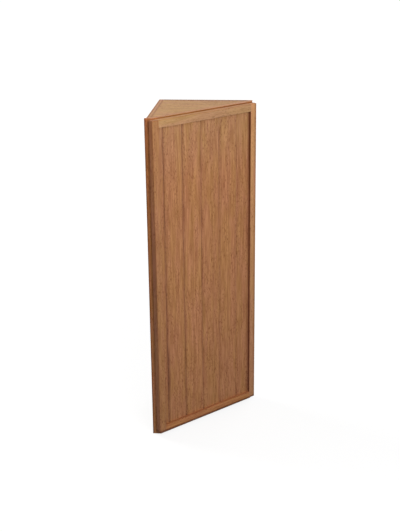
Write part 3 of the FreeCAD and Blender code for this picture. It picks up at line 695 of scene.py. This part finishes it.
# %% Finishes of the fittings
zinc = speckled("zinc_plated_steel", "#B2B0AA", "#94928D",
                spot_mm=2.5, rough=0.42, metal=1.0, bump_mm=0.02)
nickel = speckled("nickel_plated_steel", "#C4BDAF", "#ABA497",
                  spot_mm=1.5, rough=0.3, metal=1.0, bump_mm=0.01)
brown_abs = speckled("moulded_brown_abs", "#5E3D28", "#53351F",
                     spot_mm=0.6, rough=0.5, metal=0.0, bump_mm=0.05)
rubber = speckled("soft_grey_rubber", "#CFCBC1", "#C2BEB4",
                  spot_mm=0.8, rough=0.55, metal=0.0, bump_mm=0.02)
for level in levels:
    dress(zinc, f"hinge_frame_leaf_{level}", f"hinge_door_leaf_{level}", f"hinge_pin_{level}")
dress(zinc, "catch_strike")
dress(nickel, "shelf_pins")
dress(brown_abs, "catch_case")

# %% [markdown]
# ## The magnet of the catch
# A magnetic catch holds a black ferrite block between two steel plates, and the plates' edges
# do the pulling. The solid is one block, so the plates are drawn in the finish: whatever lies
# within 1.2 mm of either side is bare steel. Both are mottled by a grit of 0.8 mm.

# %% Ferrite between steel plates
POLE_PLATE = 1.2
MAGNET_WIDTH = 7.0
MAGNET_GRIT = 0.8
MAGNET_RELIEF = 0.04
FERRITE_ROUGHNESS = 0.6
PLATE_ROUGHNESS = 0.32
FERRITE = (linear("#2B2B2D"), linear("#45464A"))
PLATE = (linear("#A9A8A4"), linear("#C2C0BB"))
low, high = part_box("catch_magnet")
magnet_middle = (low.x + high.x + low.y + high.y) / 2 / sqrt(2)
ferrite, tree, shader = new_finish("ferrite_and_steel")
place = add(tree, "TexCoord").outputs["Object"]
turned = add(tree, "Mapping", {"Vector": place, "Rotation": (0, 0, DIAGONAL)}).outputs[0]
across = add(tree, "SeparateXYZ", {0: turned}).outputs["X"]
plate = {0: distance(tree, across, magnet_middle), 1: (MAGNET_WIDTH / 2 - POLE_PLATE) * MM}
plate = add(tree, "Math", plate, operation="GREATER_THAN").outputs[0]
grit = {"Vector": place, "Scale": 1 / (MAGNET_GRIT * MM), "Detail": SPOT_DETAIL}
grit = add(tree, "TexNoise", grit).outputs[0]
black = add(tree, "Mix", {0: grit, 6: FERRITE[0], 7: FERRITE[1]}, data_type="RGBA").outputs[2]
steel = add(tree, "Mix", {0: grit, 6: PLATE[0], 7: PLATE[1]}, data_type="RGBA").outputs[2]
colour = add(tree, "Mix", {0: plate, 6: black, 7: steel}, data_type="RGBA").outputs[2]
gloss = {"Value": plate, "To Min": FERRITE_ROUGHNESS, "To Max": PLATE_ROUGHNESS}
gloss = add(tree, "MapRange", gloss).outputs[0]
bump = {"Height": grit, "Strength": SPOT_STRENGTH, "Distance": MAGNET_RELIEF * MM}
bump = add(tree, "Bump", bump).outputs[0]
connect(tree, shader, {"Base Color": colour, "Metallic": plate, "Roughness": gloss, "Normal": bump})
dress(ferrite, "catch_magnet")

# %% [markdown]
# ## A countersunk screw
# Every hinge leaf, the catch and its strike plate are held by small flat-headed screws with
# a cross recess. A screw could be a lathe profile that is spun, but its steps are easy to
# follow by hand: a flat disc for the head, whose lower face is extruded and drawn in to a
# cone, then extruded straight for the shank and once more to the point. The cross is two
# crossed bars that a Boolean takes out. The head's rim is bevelled, so that it catches light.

# %% Helpers for edit mode
UP = Vector((0, 0, 1))
FACING = 0.9


def pick_faces(piece, direction):
    """In edit mode, selects the faces that look in a direction."""
    bpy.ops.mesh.select_all(action="DESELECT")
    shape = bmesh.from_edit_mesh(piece.data)
    for face in shape.faces:
        face.select_set(face.normal.dot(direction) > FACING)
    bmesh.update_edit_mesh(piece.data)


def grow_down(drop, narrowing):
    """Extrudes the selected lower face by a drop and scales its end."""
    bpy.ops.mesh.extrude_region_move(TRANSFORM_OT_translate={"value": (0, 0, -drop)})
    bpy.ops.transform.resize(value=(narrowing, narrowing, 1))


print("faces count as facing a direction above", FACING)

# %% Cross of a screw
CROSS = (3.1 * MM, 0.8 * MM, 2.0 * MM)


def cut_cross(screw):
    """Takes two crossed bars out of the head."""
    for turn in (0, 90):
        bpy.ops.object.select_all(action="DESELECT")
        bpy.ops.mesh.primitive_cube_add(size=1, rotation=(0, 0, radians(turn)))
        bar = bpy.context.object
        bar.scale = CROSS
        cut = screw.modifiers.new("cross", "BOOLEAN")
        cut.object = bar
        cut.operation = "DIFFERENCE"
        cut.solver = "EXACT"
        bpy.context.view_layer.objects.active = screw
        bpy.ops.object.modifier_apply(modifier=cut.name)
        bpy.data.objects.remove(bar)


print("cross", [round(size / MM, 1) for size in CROSS], "mm long, wide and high")

# %% Model one screw
HEAD = 5.6 * MM
SHANK = 2.8 * MM
HEAD_RIM = 0.3 * MM
HEAD_CONE = 1.5 * MM
HEAD_PROUD = 0.08 * MM
RIM_BEVEL = 0.12 * MM
SHANK_SHARE = 0.6
SHANK_TAPER = 0.9
POINT_TAPER = 0.15


def model_screw(name, length):
    """A screw at the origin with its head up. The length is that of shank and point."""
    bpy.ops.object.select_all(action="DESELECT")
    disc = (0, 0, HEAD_PROUD - HEAD_RIM / 2)
    bpy.ops.mesh.primitive_cylinder_add(vertices=24, radius=HEAD / 2, depth=HEAD_RIM, location=disc)
    screw = bpy.context.object
    screw.name = name
    bpy.ops.object.transform_apply()
    bpy.ops.object.mode_set(mode="EDIT")
    pick_faces(screw, UP)
    bpy.ops.mesh.bevel(offset=RIM_BEVEL, segments=2, affect="EDGES")
    pick_faces(screw, -UP)
    grow_down(HEAD_CONE, SHANK / HEAD)
    grow_down(length * SHANK_SHARE, SHANK_TAPER)
    grow_down(length * (1 - SHANK_SHARE), POINT_TAPER)
    bpy.ops.object.mode_set(mode="OBJECT")
    cut_cross(screw)
    bpy.ops.object.select_all(action="DESELECT")
    screw.select_set(True)
    bpy.ops.object.shade_smooth_by_angle(angle=radians(35))
    screw.data.materials.append(zinc)
    print(name, len(screw.data.polygons), "faces")
    return screw


long_screw = model_screw("long_screw", 11 * MM)
short_screw = model_screw("short_screw", 3 * MM)

# %% [markdown]
# ## Screws in their places
# The diagonal has its own two directions: one along it to the right, one into the box. All
# places are counted from the hinge axis, which the joint knows exactly. A leaf's two screws
# stand 38 mm apart in the middle of the stile. Those of the frame leaf look out of the box,
# those of the door leaf look in. The catch's case is screwed on from the right, the strike
# plate from inside. Each group is made of copies of the one screw, turned so that the head
# faces the right way, and then joined, because they never move apart.

# %% Copy a screw to its places
ALONG = Vector((1, 1, 0)) / sqrt(2)
INTO = Vector((-1, 1, 0)) / sqrt(2)
joint_place = frame["record"]["behaviour"]["joints"][0]["pos_m"]
hinge_axis = Vector((joint_place[0], joint_place[1], 0))


def spot(along_mm, into_mm, height):
    """A point at a height, so far from the hinge axis along the diagonal and into the box."""
    return hinge_axis + ALONG * along_mm * MM + INTO * into_mm * MM + Vector((0, 0, height))


def set_copies(name, model, spots, facing, body):
    """Copies a model to each spot with its top turned to `facing`, and joins the copies."""
    turn = facing.to_track_quat("Z", "Y").to_matrix().to_4x4()
    bpy.ops.object.select_all(action="DESELECT")
    for place in spots:
        copy = model.copy()
        copy.data = model.data.copy()
        bpy.context.collection.objects.link(copy)
        copy.matrix_world = Matrix.Translation(place) @ turn
        copy.select_set(True)
        bpy.context.view_layer.objects.active = copy
    bpy.context.view_layer.update()
    if len(spots) > 1:
        bpy.ops.object.join()
    bpy.ops.object.transform_apply()
    group = bpy.context.object
    group.name = name
    group.data.name = name
    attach(group, body)
    print(name, len(spots), "copies,", len(group.data.polygons), "faces")
    return group


print("hinge axis at", [round(value / MM, 1) for value in hinge_axis.xy], "mm")

# %% Screws of the hinges
STILE_MIDDLE = -14.151
LEAF_FACE = 0.3
LEAF_SCREWS = 19 * MM
leaf_heights = []
for level in levels:
    low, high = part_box(f"hinge_frame_leaf_{level}")
    middle = (low.z + high.z) / 2
    leaf_heights += [middle - LEAF_SCREWS, middle + LEAF_SCREWS]
in_frame = [spot(STILE_MIDDLE, LEAF_FACE, height) for height in leaf_heights]
in_door = [spot(STILE_MIDDLE, -LEAF_FACE, height) for height in leaf_heights]
set_copies("hinge_screws_frame", long_screw, in_frame, -INTO, "cabinet")
set_copies("hinge_screws_door", long_screw, in_door, INTO, "door")

# %% Screws of the catch and its strike plate
CASE_FACE = -380.283
CASE_DEPTH = 10.5
CASE_SCREWS = 18.5 * MM
STRIKE_MIDDLE = -375.034
STRIKE_FACE = -3.5
STRIKE_SCREWS = 15 * MM
low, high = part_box("catch_case")
catch_height = (low.z + high.z) / 2
on_case = [spot(CASE_FACE, CASE_DEPTH, catch_height + step) for step in (-CASE_SCREWS, CASE_SCREWS)]
on_strike = [spot(STRIKE_MIDDLE, STRIKE_FACE, catch_height + step)
             for step in (-STRIKE_SCREWS, STRIKE_SCREWS)]
set_copies("catch_screws", long_screw, on_case, ALONG, "cabinet")
set_copies("strike_screws", short_screw, on_strike, INTO, "door")
for model in (long_screw, short_screw):
    bpy.data.objects.remove(model)

# %% [markdown]
# ## Rubber bumpers
# Two soft buttons on the back of the door keep it from knocking on the frame. The solids are
# plain discs. A moulded bumper is domed, so a disc of the same size gets a wide bevel of many
# steps on its free side, and a thin adhesive foot remains square.

# %% Domed bumpers
BUMPER_WIDTH = 10 * MM
BUMPER_RISE = 2.7 * MM
DOME = 2.1 * MM
bpy.ops.object.select_all(action="DESELECT")
bpy.ops.mesh.primitive_cylinder_add(vertices=40, radius=BUMPER_WIDTH / 2, depth=BUMPER_RISE)
button = bpy.context.object
bpy.ops.object.mode_set(mode="EDIT")
pick_faces(button, UP)
bpy.ops.mesh.bevel(offset=DOME, segments=6, affect="EDGES")
bpy.ops.object.mode_set(mode="OBJECT")
bpy.ops.object.shade_smooth_by_angle(angle=radians(40))
button.data.materials.append(rubber)
for level in ("lower", "upper"):
    low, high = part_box(f"door_bumper_{level}")
    bumper = set_copies(f"bumper_{level}", button, [(low + high) / 2], INTO, "door")
    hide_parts(f"door_bumper_{level}")
    dress(rubber, f"door_bumper_{level}")
bpy.data.objects.remove(button)

# %% [markdown]
# ## The studio
# The photograph has a plain white ground and soft light from the front, strongest near the
# top of the door. The floor is a grey paper, because the underside of the door is dark in the
# photograph, so little light may come back from below. For the camera it has a glow on top that
# makes it white. Within a metre of the cabinet the glow isn't quite enough and the lamps add the
# rest, so what they don't reach keeps a faint shadow. Further away, where the lamps fade, the
# glow alone is white. The sky is white where it is seen or mirrored and softer where it lights.

# %% Floor
FLOOR_SIZE = 80
PAPER_GREY = "#6E6E6E"
NEAR_GLOW = 0.86
NEAR_UP_TO = 1.0
FAR_FROM = 2.5


def seen_directly(tree):
    """1 for what the camera sees, also in a mirror or through glass, and 0 for other light."""
    path = add(tree, "LightPath")
    seen = {0: path.outputs["Is Camera Ray"], 1: path.outputs["Is Glossy Ray"]}
    seen = add(tree, "Math", seen, operation="MAXIMUM").outputs[0]
    seen = {0: seen, 1: path.outputs["Is Transmission Ray"]}
    return add(tree, "Math", seen, operation="MAXIMUM").outputs[0]


bpy.ops.object.select_all(action="DESELECT")
bpy.ops.mesh.primitive_plane_add(size=FLOOR_SIZE)
floor_plane = bpy.context.object
floor_plane.name = "floor"
paper = bpy.data.materials.new("white_paper_floor")
paper.use_nodes = True
tree = paper.node_tree
tree.nodes.clear()
matt = add(tree, "BsdfDiffuse", {"Color": linear(PAPER_GREY)}).outputs[0]
away = add(tree, "TexCoord").outputs["Object"]
away = add(tree, "VectorMath", {0: away}, operation="LENGTH").outputs["Value"]
strength = {"Value": away, "From Min": NEAR_UP_TO, "From Max": FAR_FROM}
strength = add(tree, "MapRange", {**strength, "To Min": NEAR_GLOW, "To Max": 1.0}).outputs[0]
strength = {0: strength, 1: seen_directly(tree)}
strength = add(tree, "Math", strength, operation="MULTIPLY").outputs[0]
glow = add(tree, "Emission", {"Color": WHITE, "Strength": strength}).outputs[0]
both = add(tree, "AddShader", {0: matt, 1: glow}).outputs[0]
add(tree, "OutputMaterial", {"Surface": both})
floor_plane.data.materials.append(paper)
print("floor glows at", NEAR_GLOW, "of white near the cabinet")

# %% Sky
SKY_LIGHT = 0.29
sky = bpy.data.worlds.new("white_studio")
bpy.context.scene.world = sky
sky.use_nodes = True
tree = sky.node_tree
tree.nodes.clear()
soft = add(tree, "Background", {"Color": WHITE, "Strength": SKY_LIGHT}).outputs[0]
white = add(tree, "Background", {"Color": WHITE, "Strength": 1.0}).outputs[0]
both = add(tree, "MixShader", {0: seen_directly(tree), 1: soft, 2: white}).outputs[0]
add(tree, "OutputWorld", {"Surface": both})
print("sky lights at", SKY_LIGHT, "of the white that is seen")

# %% [markdown]
# ## Lamps
# One soft box stands in front of the door, to the left of its middle line and half a metre
# above its top, close enough that its light falls off towards the floor. A second one, high
# on the left and a little to the rear, lights the top and the left side. The photograph shows
# nothing of the back, but the cabinet is turned round too, so a third box stands low behind it,
# where its light hardly reaches the door or the top. All three are area lamps, because the size
# of a lamp is what makes its shadows soft.

# %% Soft boxes
def soft_box(name, place, target, width, watts):
    """A square lamp at a place, turned to a target, that the camera doesn't see."""
    bpy.ops.object.select_all(action="DESELECT")
    bpy.ops.object.light_add(type="AREA", location=place)
    lamp = bpy.context.object
    lamp.name = name
    lamp.rotation_euler = (Vector(target) - Vector(place)).to_track_quat("-Z", "Y").to_euler()
    lamp.data.size = width
    lamp.data.energy = watts
    lamp.visible_camera = False
    print(name, watts, "W at", place)


soft_box("front_soft_box", (0.65, -1.55, 1.58), target=(0.1, -0.1, 0.75), width=1.4, watts=34.5)
soft_box("left_soft_box", (-1.55, 0.75, 2.4), target=(0.0, 0.0, 0.8), width=1.0, watts=39)
soft_box("back_soft_box", (0.9, 1.9, 1.0), target=(0.0, 0.15, 0.55), width=1.0, watts=15)

# %% [markdown]
# ## Camera
# The camera stands 3.4 m away and a little to the right, higher than the cabinet, and looks
# down on it with a long lens. Place, turn and lens come from fitting the cabinet's edges to
# the photograph.

# %% Camera
CAMERA_PLACE = (0.30051, -3.1421, 1.68719)
TURN_LEFT = 5.688
LOOK_DOWN = 19.812
LEAN = -0.649
LENS = 69.166
SENSOR = 36
bpy.ops.object.select_all(action="DESELECT")
bpy.ops.object.camera_add(location=CAMERA_PLACE)
camera = bpy.context.object
yaw = Matrix.Rotation(radians(TURN_LEFT), 4, "Z")
tilt = Matrix.Rotation(radians(90 - LOOK_DOWN), 4, "X")
roll = Matrix.Rotation(radians(LEAN), 4, "Z")
camera.rotation_euler = (yaw @ tilt @ roll).to_euler()
camera.data.sensor_width = SENSOR
camera.data.lens = LENS
camera.data.dof.use_dof = False
bpy.context.scene.camera = camera
bpy.context.scene.view_settings.view_transform = "Standard"
print("camera", [round(value, 3) for value in camera.location])
